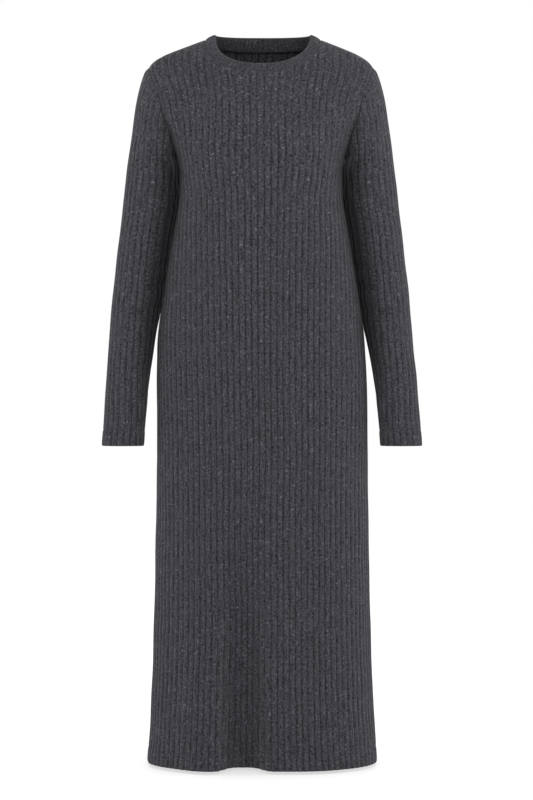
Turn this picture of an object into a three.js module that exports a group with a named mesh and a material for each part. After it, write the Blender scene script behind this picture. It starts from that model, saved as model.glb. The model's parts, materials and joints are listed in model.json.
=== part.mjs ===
// A long-sleeved rib-knit sweater dress, hollow, in the form it takes when it is worn.
// Millimetres, +Z up, the front towards -Y. The origin is where the wearer's shoulders carry it:
// on the centre line, level with the two high shoulder points, above the side seams.
import * as THREE from "three";
import { mergeVertices } from "three/addons/utils/BufferGeometryUtils.js";

// Driving sizes of the cloth
const WALL = 1.4; // thickness of the knit in the grooves between ribs
const RIB_HEIGHT = 1.3; // how far a rib stands out of the groove beside it
const RIDGE_HALF = 0.3; // half the width of a rib's flat top, as a share of the rib pitch
const SEAM_GAP = 0.4; // between two pieces at a straight seam
const CURVE_GAP = 1.3; // at a corner of a curved seam, which leaves about 0.3 mm halfway between corners

// Driving sizes of the cut
const GARMENT_LENGTH = 1200; // high shoulder point to hem
const FRONT_NECK_DROP = 64; // high shoulder point down to the front neck seam
const BACK_NECK_DROP = 6.5;
const NECK_SQUARENESS = 2.3;
const SHOULDER_HALF = 187; // centre line to the shoulder point
const SHOULDER_DROP = 47; // high shoulder point down to the shoulder point
const UNDERARM_DROP = 198;
const ARM_MID_DROP = 128; // where the armhole is deepest
const SLEEVE_END = 676; // high shoulder point down to the cuff edge
const SHOULDER_RIBS = 15.1; // ribs from the centre line to the shoulder point
const NECK_RIBS = 7.7; // and to the high shoulder point
const NECK_HALF = (SHOULDER_HALF * NECK_RIBS) / SHOULDER_RIBS; // centre line to the high shoulder point
const CHEST_PITCH = 11.3; // rib pitch over the bust
const RIB_FAN_START = 120; // below this the ribs keep the chest pitch
const RIB_FAN_END = 40;

// The body's level sections, from the high shoulder point down: half width, depth of the front and the
// back from the side seams, squareness of the outline, and ribs from the centre line to the side seam.
const BODY = [
  { z: 0, half: 95.36, front: 24, back: 62, square: 2.0, ribs: 17.5 },
  { z: -3.3, half: 104.5, front: 27, back: 65, square: 2.0, ribs: 17.5 },
  { z: -10, half: 122, front: 33, back: 69, square: 2.0, ribs: 17.5 },
  { z: -16.7, half: 139, front: 40, back: 72, square: 2.0, ribs: 17.5 },
  { z: -23.3, half: 155, front: 47, back: 76, square: 2.0, ribs: 17.5 },
  { z: -30, half: 168, front: 54, back: 79, square: 2.0, ribs: 17.5 },
  { z: -37, half: 178.5, front: 61, back: 82, square: 2.0, ribs: 17.5 },
  { z: -47, half: 187, front: 70, back: 86, square: 2.0, ribs: 17.5 },
  { z: -64, half: 195, front: 82, back: 91, square: 2.0, ribs: 17.5 },
  { z: -84, half: 201, front: 92, back: 96, square: 2.0, ribs: 17.5 },
  { z: -110, half: 205, front: 102, back: 101, square: 2.05, ribs: 17.5 },
  { z: -128, half: 196, front: 108, back: 104, square: 2.15, ribs: 17.5 },
  { z: -155, half: 170, front: 114, back: 106, square: 2.3, ribs: 17.5 },
  { z: -182, half: 148, front: 118, back: 107, square: 2.3, ribs: 17.5 },
  { z: -198, half: 141, front: 118, back: 107, square: 2.2, ribs: 17.5 },
  { z: -225, half: 137.2, front: 116, back: 106, square: 2.15, ribs: 17.5 },
  { z: -265, half: 137.5, front: 113, back: 104, square: 2.15, ribs: 18.5 },
  { z: -325, half: 149, front: 111, back: 101, square: 2.2, ribs: 19.5 },
  { z: -400, half: 161, front: 109, back: 99, square: 2.25, ribs: 21.0 },
  { z: -500, half: 171.5, front: 107, back: 103, square: 2.3, ribs: 22.5 },
  { z: -600, half: 173, front: 107, back: 109, square: 2.35, ribs: 23.1 },
  { z: -700, half: 173.5, front: 108, back: 111, square: 2.35, ribs: 23.5 },
  { z: -880, half: 176, front: 109, back: 111, square: 2.4, ribs: 24.1 },
  { z: -1060, half: 181, front: 111, back: 114, square: 2.45, ribs: 24.5 },
  { z: -1200, half: 188.5, front: 116.5, back: 118, square: 2.5, ribs: 24.5 },
];

// The armhole's edge, counted in ribs from the centre line.
const ARMHOLE = [
  { z: -128, ribs: 15.1 },
  { z: -143, ribs: 15.17 },
  { z: -160, ribs: 15.5 },
  { z: -180, ribs: 16.4 },
  { z: -198, ribs: 17.5 },
];

// The sleeve's level sections: outer and inner edge seen from the front, half depth, how far the middle
// lies forward, and ribs from the outer line round to the underarm seam. Above the underarm only the
// outer stretch of each section is cloth, so there the inner edge only sets the curve.
const SLEEVE = [
  { z: -47, outer: 187, inner: 63, depth: 36, forward: 0, ribs: 13.5 },
  { z: -60, outer: 193.5, inner: 83, depth: 41, forward: 0, ribs: 13.5 },
  { z: -84, outer: 201, inner: 100, depth: 51, forward: 0, ribs: 13.5 },
  { z: -110, outer: 206.5, inner: 111, depth: 57, forward: 0, ribs: 13.5 },
  { z: -142, outer: 211.5, inner: 123, depth: 57, forward: 0, ribs: 13.5 },
  { z: -170, outer: 215, inner: 134, depth: 54, forward: 0, ribs: 13.5 },
  { z: -198, outer: 218.7, inner: 142.6, depth: 51, forward: 0, ribs: 13.5 },
  { z: -215, outer: 221, inner: 140.4, depth: 50, forward: 0, ribs: 13.5 },
  { z: -240, outer: 224, inner: 139.1, depth: 49, forward: 0, ribs: 13.5 },
  { z: -267, outer: 227, inner: 139.9, depth: 48.5, forward: 0, ribs: 13.5 },
  { z: -320, outer: 233, inner: 150.8, depth: 48, forward: 1, ribs: 13.5 },
  { z: -385, outer: 240.5, inner: 161.6, depth: 46.5, forward: 3, ribs: 13.0 },
  { z: -450, outer: 247, inner: 169.9, depth: 44, forward: 7, ribs: 12.5 },
  { z: -505, outer: 251, inner: 177.5, depth: 41, forward: 11, ribs: 12.0 },
  { z: -560, outer: 256.5, inner: 187, depth: 38, forward: 16, ribs: 11.5 },
  { z: -640, outer: 262.5, inner: 196, depth: 35.5, forward: 23, ribs: 10.5 },
  { z: -676, outer: 265, inner: 198.5, depth: 35, forward: 26, ribs: 10.5 },
];

// Soft upright folds of the skirt. side is -1 on the front and 1 on the back; at is the distance from the
// centre line, to the wearer's left if positive; depth is at the hem, inwards if positive; a higher power
// gives the fold a flatter floor and steeper walls.
const FOLDS = [
  { side: -1, at: -29.5, width: 27, depth: 39, top: -640, power: 4 },
  { side: -1, at: -100, width: 30, depth: -11, top: -700, power: 2 },
  { side: -1, at: 88, width: 46, depth: -5, top: -760, power: 2 },
  { side: -1, at: -150, width: 15, depth: 1.5, top: -560, power: 2 },
  { side: 1, at: 48, width: 24, depth: 22, top: -720, power: 2 },
  { side: 1, at: -70, width: 30, depth: 14, top: -820, power: 2 },
];

// The dress hangs a little to the wearer's left at the neck and in the skirt, and the wearer's right cuff
// hangs a little closer in than the left.
const SWAY = { neck: 3.2, neckBelow: 42, skirt: 2.2, skirtAbove: 450, skirtFull: 700 };
const CUFF_TUCK = { in: 3.6, from: 480, full: 640 };

// The soft crown of the bust on each side of the centre line.
const BUST = { across: 66, drop: 168, wide: 42, tall: 40, rise: 5 };

// The neckband: inner edge at the fold, seen from above and from the front.
const BAND = { half: 78.5, front: 73, back: 60, side: 8.5, frontDrop: 49, backRise: 13.5, thick: 3.2, ribs: 78 };
const BAND_RIB = 0.6;
const BAND_PROUD = 0.9; // the doubled band stands out from the single cloth beside it

// Level lines of the meshes, from the hem or the cuff up, then shares of the way on to the top edge
const BODY_LEVELS = [-1200, -1060, -880, -700, -500, -400, -325, -265, -225, -198, -180, -160, -128];
const BODY_SHARES = [0.18, 0.42, 0.68, 0.88, 1];
const SLEEVE_LEVELS = [-676, -640, -560, -450, -385, -320, -267, -225];
const SLEEVE_SHARES = [0.35, 0.65, 0.88, 1];

// A smooth curve through one column of a table, against z, with no overshoot between rows.
function column(table, key) {
  const rows = [...table].sort((p, q) => p.z - q.z);
  const z = rows.map((r) => r.z);
  const v = rows.map((r) => r[key]);
  const slope = z.slice(1).map((_, i) => (v[i + 1] - v[i]) / (z[i + 1] - z[i]));
  const tangent = z.map((_, i) => {
    if (i === 0) return slope[0];
    if (i === z.length - 1) return slope[i - 1];
    const product = slope[i - 1] * slope[i];
    return product > 0 ? (2 * product) / (slope[i - 1] + slope[i]) : 0;
  });
  return (at) => {
    if (at <= z[0]) return v[0];
    if (at >= z[z.length - 1]) return v[z.length - 1];
    let i = 0;
    while (at > z[i + 1]) i++;
    const span = z[i + 1] - z[i];
    const t = (at - z[i]) / span;
    const rise = v[i + 1] - v[i];
    const a = span * tangent[i] - rise;
    const b = rise - span * tangent[i + 1];
    return v[i] + t * (rise + (1 - t) * (a * (1 - t) + b * t));
  };
}

const smooth = (t) => {
  const c = Math.min(1, Math.max(0, t));
  return c * c * (3 - 2 * c);
};
const mix = (a, b, t) => a + (b - a) * t;

// z where a function that falls as z rises passes a value
function solve(fall, value, low, high) {
  for (let n = 0; n < 50; n++) {
    const middle = (low + high) / 2;
    if (fall(middle) > value) low = middle;
    else high = middle;
  }
  return (low + high) / 2;
}

// Quarter of a rounded outline, walked from (0, deep) to (wide, 0) and measured along the way.
const QUARTER_STEPS = 240;
function quarter(wide, deep, square) {
  const points = [];
  let length = 0;
  for (let n = 0; n <= QUARTER_STEPS; n++) {
    const angle = (Math.PI / 2) * (1 - n / QUARTER_STEPS);
    const x = wide * Math.pow(Math.max(0, Math.cos(angle)), 2 / square);
    const y = deep * Math.pow(Math.max(0, Math.sin(angle)), 2 / square);
    if (n) length += Math.hypot(x - points[n - 1].x, y - points[n - 1].y);
    points.push({ x, y, length });
  }
  return points;
}

// The point at a distance along such a quarter
function along(points, distance) {
  let low = 0;
  let high = points.length - 1;
  while (high - low > 1) {
    const middle = (low + high) >> 1;
    if (points[middle].length < distance) low = middle;
    else high = middle;
  }
  const t = Math.min(1, (distance - points[low].length) / (points[high].length - points[low].length));
  return { x: mix(points[low].x, points[high].x, t), y: mix(points[low].y, points[high].y, t) };
}

const bodyHalf = column(BODY, "half");
const bodyDepth = { [-1]: column(BODY, "front"), [1]: column(BODY, "back") };
const bodySquare = column(BODY, "square");
const bodyRibs = column(BODY, "ribs");
const armholeRibs = column(ARMHOLE, "ribs");

const quarters = new Map();
function bodyQuarter(side, z) {
  const key = side + ":" + z.toFixed(4);
  if (!quarters.has(key)) quarters.set(key, quarter(bodyHalf(z), bodyDepth[side](z), bodySquare(z)));
  return quarters.get(key);
}

const sway = (z) =>
  SWAY.neck * smooth((z + SWAY.neckBelow) / SWAY.neckBelow) +
  SWAY.skirt * smooth((-z - SWAY.skirtAbove) / (SWAY.skirtFull - SWAY.skirtAbove));
const tuck = (z) => CUFF_TUCK.in * smooth((-z - CUFF_TUCK.from) / (CUFF_TUCK.full - CUFF_TUCK.from));

// How far the folds and the bust move the cloth inwards, at a distance from the centre line
function foldDepth(side, distance, z) {
  let inwards = 0;
  for (const fold of FOLDS) {
    if (fold.side !== side || z > fold.top) continue;
    const share = smooth((fold.top - z) / (fold.top + GARMENT_LENGTH));
    inwards += fold.depth * share * Math.exp(-0.5 * (Math.abs(distance - fold.at) / fold.width) ** fold.power);
  }
  if (side < 0) {
    const up = (z + BUST.drop) / BUST.tall;
    const across = (Math.abs(distance) - BUST.across) / BUST.wide;
    inwards -= BUST.rise * Math.exp(-0.5 * (up * up + across * across));
  }
  return inwards;
}

// A point of the body's cloth: rib is counted from the centre line, to the wearer's left if positive.
function bodyPoint(side, rib, z) {
  const count = Math.abs(rib);
  const sign = Math.sign(rib) || 1;
  const points = bodyQuarter(side, z);
  const whole = points[points.length - 1].length;
  const pitch = z < -UNDERARM_DROP ? whole / bodyRibs(z) : CHEST_PITCH;
  const level = z < -UNDERARM_DROP ? pitch : mix(underarmPitch(side), pitch, smooth((z + UNDERARM_DROP) / 40));
  const distance = Math.min(whole, count * level);
  let { x, y } = along(points, distance);
  const fan = smooth((z + RIB_FAN_START) / (RIB_FAN_START - RIB_FAN_END));
  if (fan > 0) {
    x = Math.min(bodyHalf(z), mix(x, (count * SHOULDER_HALF) / SHOULDER_RIBS, fan));
    const inside = Math.max(0, 1 - Math.pow(x / bodyHalf(z), bodySquare(z)));
    y = bodyDepth[side](z) * Math.pow(inside, 1 / bodySquare(z));
  }
  const edge = Math.min(1, y / 40); // folds die out towards the side and shoulder seams
  return new THREE.Vector3(sign * x, side * (y - edge * foldDepth(side, sign * distance, z)), z);
}
function underarmPitch(side) {
  const points = bodyQuarter(side, -UNDERARM_DROP);
  return points[points.length - 1].length / bodyRibs(-UNDERARM_DROP);
}

// Half width of the neck seam at a level, and the level of the panel's top edge on a rib
function neckHalf(side, z) {
  const drop = side < 0 ? FRONT_NECK_DROP : BACK_NECK_DROP;
  const down = Math.min(1, Math.max(0, -z / drop));
  return NECK_HALF * Math.pow(1 - Math.pow(down, NECK_SQUARENESS), 1 / NECK_SQUARENESS);
}
function bodyTop(side, rib) {
  const count = Math.abs(rib);
  const drop = side < 0 ? FRONT_NECK_DROP : BACK_NECK_DROP;
  if (count >= NECK_RIBS) {
    const x = (count * SHOULDER_HALF) / SHOULDER_RIBS;
    return solve(bodyHalf, x, -SHOULDER_DROP, 0);
  }
  return solve((z) => bodyPoint(side, count, z).x - neckHalf(side, z), 0, -drop, 0);
}

// The armhole seam, shared by a body panel and a sleeve
function armhole(side, z) {
  return bodyPoint(side, z > -ARM_MID_DROP ? SHOULDER_RIBS : armholeRibs(z), z);
}

const sleeveOuter = column(SLEEVE, "outer");
const sleeveInner = column(SLEEVE, "inner");
const sleeveDepth = column(SLEEVE, "depth");
const sleeveForward = column(SLEEVE, "forward");
const sleeveRibs = column(SLEEVE, "ribs");

// Half of a sleeve section, walked from the outer line to the inner line
const HALF_STEPS = 360;
const halves = new Map();
function sleeveHalf(z) {
  const key = z.toFixed(4);
  if (halves.has(key)) return halves.get(key);
  const middle = (sleeveOuter(z) + sleeveInner(z)) / 2;
  const reach = (sleeveOuter(z) - sleeveInner(z)) / 2;
  const points = [];
  let length = 0;
  for (let n = 0; n <= HALF_STEPS; n++) {
    const angle = (Math.PI * n) / HALF_STEPS;
    const x = middle + reach * Math.cos(angle);
    const y = sleeveDepth(z) * Math.sin(angle);
    if (n) length += Math.hypot(x - points[n - 1].x, y - points[n - 1].y);
    points.push({ x, y, length });
  }
  halves.set(key, points);
  return points;
}
function sleevePitch(z) {
  const points = sleeveHalf(Math.min(z, -UNDERARM_DROP));
  return points[points.length - 1].length / sleeveRibs(Math.min(z, -UNDERARM_DROP));
}

// Distance along a sleeve section to the armhole seam
function seamReach(side, z) {
  const seam = armhole(side, z);
  const points = sleeveHalf(z);
  let n = 1;
  while (n < HALF_STEPS && points[n].x > seam.x) n++;
  const t = (points[n - 1].x - seam.x) / (points[n - 1].x - points[n].x);
  return mix(points[n - 1].length, points[n].length, Math.min(1, Math.max(0, t)));
}

// Level of a sleeve's top edge on a rib, counted from the outer line, to the front if positive
const capTops = new Map();
function sleeveTop(rib) {
  const key = rib.toFixed(4);
  if (!capTops.has(key)) {
    const side = rib >= 0 ? -1 : 1;
    const distance = Math.abs(rib) * sleevePitch(-UNDERARM_DROP);
    const top = solve((z) => seamReach(side, z), distance, -UNDERARM_DROP, -SHOULDER_DROP);
    capTops.set(key, Math.abs(rib) >= sleeveRibs(-UNDERARM_DROP) ? -UNDERARM_DROP : top);
  }
  return capTops.get(key);
}

// A point of the wearer's left sleeve. Near the armhole it is eased onto the seam.
const CAP_EASE = 85;
function sleevePoint(rib, z) {
  const side = rib >= 0 ? -1 : 1;
  const raw = (level) => {
    const points = sleeveHalf(level);
    const distance = Math.min(points[points.length - 1].length, Math.abs(rib) * sleevePitch(level));
    const { x, y } = along(points, distance);
    return new THREE.Vector3(x, side * y - sleeveForward(level), level);
  };
  const top = sleeveTop(rib);
  const share = Math.min(1, Math.max(0, (top - z) / CAP_EASE));
  const ease = (1 - share) ** 2 * (1 + 2 * share);
  const point = raw(z);
  if (ease > 0) {
    const target = armhole(side, top);
    target.x += CURVE_GAP - SEAM_GAP / 2;
    point.add(target.sub(raw(top)).multiplyScalar(ease));
  }
  return point;
}

// Height of a rib above its groove. Ribs lie on whole numbers and grooves halfway between them, and a
// rib flattens where a seam cuts it; left is the count of ribs from there to the seam.
function relief(rib, left) {
  const off = Math.abs(rib - Math.round(rib));
  return RIB_HEIGHT * smooth((0.5 - off) / (0.5 - RIDGE_HALF)) * Math.min(1, left / 0.8);
}

// The outward normal of a surface of ribs and levels, taken from two short steps towards its middle
function normalAt(point, rib, z, inwards, flip) {
  const here = point(rib, z);
  const across = point(rib + inwards * 0.01, z).sub(here).multiplyScalar(inwards);
  const up = here.clone().sub(point(rib, z - 0.05));
  const normal = across.cross(up).normalize();
  return flip ? normal.negate() : normal;
}

// Ribs of a panel as columns: each rib has a groove and the two edges of its flat top.
function ribColumns(first, last) {
  const outer = [];
  const inner = [];
  for (let groove = first; groove < last - 0.01; groove++) {
    outer.push(groove, groove + 0.5 - RIDGE_HALF, groove + 0.5 + RIDGE_HALF);
    inner.push(groove);
  }
  outer.push(last);
  inner.push(last);
  return { outer, inner };
}

// A closed wall from two nets of points: the raised outside, with three columns for each of the inside's.
function wall(outer, inner, hasSides) {
  const positions = [];
  const triangle = (a, b, c) => positions.push(a.x, a.y, a.z, b.x, b.y, b.z, c.x, c.y, c.z);
  const quad = (a, b, c, d) => {
    triangle(a, b, c);
    triangle(a, c, d);
  };
  const last = outer.length - 1;
  for (let j = 0; j < last; j++) {
    for (let c = 0; c + 1 < outer[j].length; c++)
      quad(outer[j][c], outer[j][c + 1], outer[j + 1][c + 1], outer[j + 1][c]);
    for (let c = 0; c + 1 < inner[j].length; c++)
      quad(inner[j][c], inner[j + 1][c], inner[j + 1][c + 1], inner[j][c + 1]);
    if (!hasSides) continue;
    const end = outer[j].length - 1;
    const innerEnd = inner[j].length - 1;
    quad(outer[j][0], outer[j + 1][0], inner[j + 1][0], inner[j][0]);
    quad(outer[j][end], inner[j][innerEnd], inner[j + 1][innerEnd], outer[j + 1][end]);
  }
  for (const [j, up] of [[0, false], [last, true]])
    for (let c = 0; c + 1 < inner[j].length; c++) {
      const rib = outer[j].slice(3 * c, 3 * c + 4);
      const [left, right] = [inner[j][c], inner[j][c + 1]];
      for (const [p, q, r] of [
        [left, rib[1], rib[0]],
        [left, right, rib[1]],
        [right, rib[2], rib[1]],
        [right, rib[3], rib[2]],
      ])
        up ? triangle(p, r, q) : triangle(p, q, r);
    }
  return closed(positions);
}

// Shared vertices are merged and triangles that have shrunk to a line are dropped.
function closed(positions) {
  const soup = new THREE.BufferGeometry();
  soup.setAttribute("position", new THREE.Float32BufferAttribute(positions, 3));
  const merged = mergeVertices(soup, 1e-3);
  const kept = [];
  const index = merged.index.array;
  for (let n = 0; n < index.length; n += 3) {
    const [a, b, c] = [index[n], index[n + 1], index[n + 2]];
    if (a !== b && b !== c && a !== c) kept.push(a, b, c);
  }
  merged.setIndex(kept);
  merged.computeVertexNormals();
  return merged;
}

const YARN = new THREE.MeshStandardMaterial({ color: 0x47464a, roughness: 0.95, metalness: 0 });
const BAND_YARN = new THREE.MeshStandardMaterial({ color: 0x454448, roughness: 0.95, metalness: 0 });

function piece(name, geometry, material) {
  const mesh = new THREE.Mesh(geometry, material);
  mesh.name = name;
  return mesh;
}

// The front or the back, from the hem to the neck, shoulder, armhole and side seams
function bodyPanel(side) {
  const most = bodyRibs(-GARMENT_LENGTH);
  const columns = ribColumns(-most, most);
  const rows = [
    ...BODY_LEVELS.map((z) => ({ z, share: 0 })),
    ...BODY_SHARES.map((share) => ({ z: -ARM_MID_DROP, share })),
  ];
  const edgeRibs = (z) => (z <= -UNDERARM_DROP ? bodyRibs(z) : armholeRibs(z));
  const point = (rib, z) => bodyPoint(side, rib, z);
  const vertex = (column, row, raised) => {
    const limit = row.share > 0 ? SHOULDER_RIBS : edgeRibs(row.z);
    const rib = Math.sign(column) * Math.min(Math.abs(column), limit);
    const top = row.share > 0 ? bodyTop(side, rib) : 0;
    const z = row.share > 0 ? mix(row.z, top, 1 - (1 - row.share) ** 1.4) : row.z;
    const here = point(rib, z);
    const normal = normalAt(point, rib, z, rib > 0 ? -1 : 1, side > 0);
    const onEdge = Math.abs(rib) >= limit - 1e-6;
    if (onEdge) {
      if (row.share > 0 || z > -UNDERARM_DROP - 1) here.x -= (Math.sign(rib) * SEAM_GAP) / 2;
      if (z <= -UNDERARM_DROP) here.y += (side * SEAM_GAP) / 2;
    }
    if (row.share === 1) here.y += (side * SEAM_GAP) / 2;
    const height = onEdge || row.share === 1 ? 0 : relief(rib, limit - Math.abs(rib));
    here.addScaledVector(normal, raised ? height : -WALL);
    here.x += sway(z);
    return here;
  };
  const outer = rows.map((row) => columns.outer.map((c) => vertex(c, row, true)));
  const inner = rows.map((row) => columns.inner.map((c) => vertex(c, row, false)));
  if (side > 0) [...outer, ...inner].forEach((row) => row.reverse());
  return piece(side < 0 ? "front" : "back", wall(outer, inner, true), YARN);
}

// The left sleeve, from the cuff to the armhole; the right one mirrors it
function sleeve(name, hand) {
  const most = sleeveRibs(-UNDERARM_DROP);
  const columns = ribColumns(-most, most);
  const split = SLEEVE_LEVELS[SLEEVE_LEVELS.length - 1];
  const rows = [
    ...SLEEVE_LEVELS.map((z) => ({ z, share: 0 })),
    ...SLEEVE_SHARES.map((share) => ({ z: split, share })),
  ];
  const vertex = (column, row, raised) => {
    const limit = row.share > 0 ? most : sleeveRibs(row.z);
    const rib = Math.sign(column) * Math.min(Math.abs(column), limit);
    const onSeam = Math.abs(rib) >= limit - 1e-6;
    const sided = onSeam ? limit : rib; // both edges of the cloth meet on the underarm seam
    const z = row.share > 0 ? mix(row.z, sleeveTop(sided), row.share) : row.z;
    const here = sleevePoint(sided, z);
    const normal = onSeam
      ? new THREE.Vector3(-1, 0, 0)
      : normalAt(sleevePoint, rib, z, rib > 0 ? -1 : 1, true);
    const height = onSeam || row.share === 1 ? 0 : relief(rib, limit - Math.abs(rib));
    here.addScaledVector(normal, raised ? height : -WALL);
    here.x = hand > 0 ? here.x : tuck(z) - here.x;
    return here;
  };
  const outer = rows.map((row) => columns.outer.map((c) => vertex(c, row, true)));
  const inner = rows.map((row) => columns.inner.map((c) => vertex(c, row, false)));
  if (hand > 0) [...outer, ...inner].forEach((row) => row.reverse());
  return piece(name, wall(outer, inner, false), YARN);
}

// The corners of a panel's neck edge from the centre line to the high shoulder point, and the point
// between them at a distance from the centre line
function neckCorners(side) {
  const most = bodyRibs(-GARMENT_LENGTH);
  const counts = ribColumns(-most, most).outer.filter((c) => c > 0 && c <= NECK_RIBS + 1e-6);
  return counts.map((c) => ({ c, point: bodyPoint(side, c, bodyTop(side, c)) }));
}
function onNeckEdge(corners, x) {
  let n = 1;
  while (n < corners.length - 1 && corners[n].point.x < x) n++;
  const [from, to] = [corners[n - 1], corners[n]];
  const t = Math.min(1, Math.max(0, (x - from.point.x) / (to.point.x - from.point.x)));
  const point = from.point.clone().lerp(to.point, t);
  point.x = Math.min(x, to.point.x);
  return { point, rib: mix(from.c, to.c, t) };
}

// The doubled band round the neck, ribbed across, butted to the two panels
function neckband() {
  const edges = { [-1]: neckCorners(-1), [1]: neckCorners(1) };
  const steps = 2 * BAND.ribs;
  const power = 2 / NECK_SQUARENESS;
  const rings = [];
  for (let n = 0; n < steps; n++) {
    const angle = (2 * Math.PI * n) / steps;
    const side = Math.sin(angle) >= 0 ? -1 : 1;
    const across = Math.sign(Math.cos(angle)) * Math.pow(Math.abs(Math.cos(angle)), power);
    const round = Math.pow(Math.abs(Math.sin(angle)), power);
    const { point: seam, rib } = onNeckEdge(edges[side], NECK_HALF * Math.abs(across));
    const normal = normalAt((r, z) => bodyPoint(side, r, z), rib, seam.z, -1, side > 0);
    seam.x *= Math.sign(across) || 1;
    normal.x *= Math.sign(across) || 1;
    const fold = new THREE.Vector3(
      BAND.half * across,
      side * (side < 0 ? BAND.front : BAND.back) * round,
      BAND.side + (side < 0 ? -BAND.side - BAND.frontDrop : BAND.backRise - BAND.side) * round,
    );
    const run = fold.clone().sub(seam).normalize();
    const start = seam.clone().addScaledVector(run, CURVE_GAP + 0.5);
    const height = n % 2 ? 0 : BAND_RIB;
    const at = (share, out) => start.clone().lerp(fold, share).addScaledVector(normal, out);
    rings.push([
      at(0, BAND_PROUD),
      at(0.12, BAND_PROUD + height),
      at(0.86, BAND_PROUD + height),
      at(1, BAND_PROUD - BAND.thick / 2),
      at(0.86, BAND_PROUD - BAND.thick),
      at(0, BAND_PROUD - BAND.thick),
    ]);
  }
  const positions = [];
  for (let n = 0; n < steps; n++) {
    const [here, next] = [rings[n], rings[(n + 1) % steps]];
    for (let k = 0; k < here.length; k++) {
      const m = (k + 1) % here.length;
      for (const p of [here[k], here[m], next[m], here[k], next[m], next[k]])
        positions.push(p.x + sway(Math.min(0, p.z)), p.y, p.z);
    }
  }
  return piece("neckband", closed(positions), BAND_YARN);
}

const dress = new THREE.Group();
dress.add(bodyPanel(-1), bodyPanel(1), sleeve("sleeve_left", 1), sleeve("sleeve_right", -1), neckband());

export default dress;
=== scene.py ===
# %% [markdown]
# # A rib-knit sweater dress, filled out as if worn
# Charcoal heather yarn, a crew neck with a doubled band, long set-in sleeves and a straight skirt that
# flares a little at the hem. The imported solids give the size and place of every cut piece. Here each
# piece becomes a thin shell of rib knit on the same form, with its seams, turned edges and soft folds.

import json
import math

import bmesh
import bpy
import numpy as np
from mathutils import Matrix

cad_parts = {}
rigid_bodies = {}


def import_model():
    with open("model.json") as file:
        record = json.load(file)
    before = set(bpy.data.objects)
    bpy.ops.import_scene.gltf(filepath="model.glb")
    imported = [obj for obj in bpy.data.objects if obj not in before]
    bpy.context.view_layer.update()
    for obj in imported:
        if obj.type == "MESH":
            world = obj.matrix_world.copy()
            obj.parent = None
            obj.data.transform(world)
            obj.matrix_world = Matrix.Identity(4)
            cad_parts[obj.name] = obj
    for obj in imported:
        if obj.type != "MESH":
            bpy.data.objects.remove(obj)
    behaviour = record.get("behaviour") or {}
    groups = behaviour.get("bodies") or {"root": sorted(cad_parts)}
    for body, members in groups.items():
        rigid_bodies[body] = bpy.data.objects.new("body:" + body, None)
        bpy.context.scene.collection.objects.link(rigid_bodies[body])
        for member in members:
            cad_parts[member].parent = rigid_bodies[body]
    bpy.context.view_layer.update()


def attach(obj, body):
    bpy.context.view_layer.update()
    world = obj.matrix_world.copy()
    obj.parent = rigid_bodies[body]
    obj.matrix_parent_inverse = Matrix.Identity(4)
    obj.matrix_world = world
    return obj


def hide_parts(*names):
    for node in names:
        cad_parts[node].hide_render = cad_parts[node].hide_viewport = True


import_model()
MM = 0.001

# %% [markdown]
# ## The camera
# The dress is seen level from the front, from nearly four metres, so its sides hardly close in towards
# the hem. The lens follows from how much of the picture's height the dress fills. The camera stands a
# little to one side of the centre line, as the dress stands a little left of the picture's middle.

# %% Camera
VIEW_DISTANCE = 3.7
VIEW_HEIGHT = 1.3333  # metres of the dress's plane that the picture's height covers
VIEW_LEVEL = -0.6  # half way down the dress
VIEW_SIDESTEP = 0.0092
SENSOR = 36  # mm
camera_data = bpy.data.cameras.new("camera")
camera_data.sensor_width = SENSOR
camera_data.lens = SENSOR * VIEW_DISTANCE / VIEW_HEIGHT
camera = bpy.data.objects.new("camera", camera_data)
camera.location = (VIEW_SIDESTEP, -VIEW_DISTANCE, VIEW_LEVEL)
camera.rotation_euler = (math.pi / 2, 0, 0)
bpy.context.scene.collection.objects.link(camera)
bpy.context.scene.camera = camera
print("camera lens", round(camera_data.lens, 1), "mm")

# %% [markdown]
# ## Sizes
# All in millimetres, from the high shoulder points down, and ribs are counted from the centre line. The
# front is side -1 and the back is side 1, as their Y runs. A pattern cutter starts from the same list:
# length, shoulder, neck and underarm. The solids were drawn from these sizes, so the cloth falls on them.

# %% Sizes
LENGTH = 1200
UNDERARM = 198
ARM_MID = 128  # from here up, the armhole follows one rib
SHOULDER_HALF = 187
SHOULDER_DROP = 47
SHOULDER_RIBS = 15.1
NECK_RIBS = 7.7
NECK_HALF = SHOULDER_HALF * NECK_RIBS / SHOULDER_RIBS
NECK_DROP = {-1: 64, 1: 6.5}
NECK_SQUARENESS = 2.3
SLEEVE_END = 676
SLEEVE_RIBS = 13.5  # from the outer line to the underarm seam
print("neck", round(2 * NECK_HALF), "mm wide, shoulders", 2 * SHOULDER_HALF, "mm")

# %% [markdown]
# ## Levels of the body
# Each level is a rounded outline with its own half width and its depth to the front and the back. A
# squareness of 2 is an ellipse, and more is fuller at the corners. The skirt shows more ribs than the
# chest, because the side seams cut them off on the way up. A sculpted mesh could give the same form, but
# a table is easily read and set right. From the armholes to the hip the sides lie 2 to 8 millimetres
# further in than those of the solids, which are kept a little wider there.


# %% Body levels
def table(columns, rows):
    """Rows of numbers, each as a dictionary with the columns' names."""
    return [dict(zip(columns.split(), row)) for row in rows]


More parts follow.
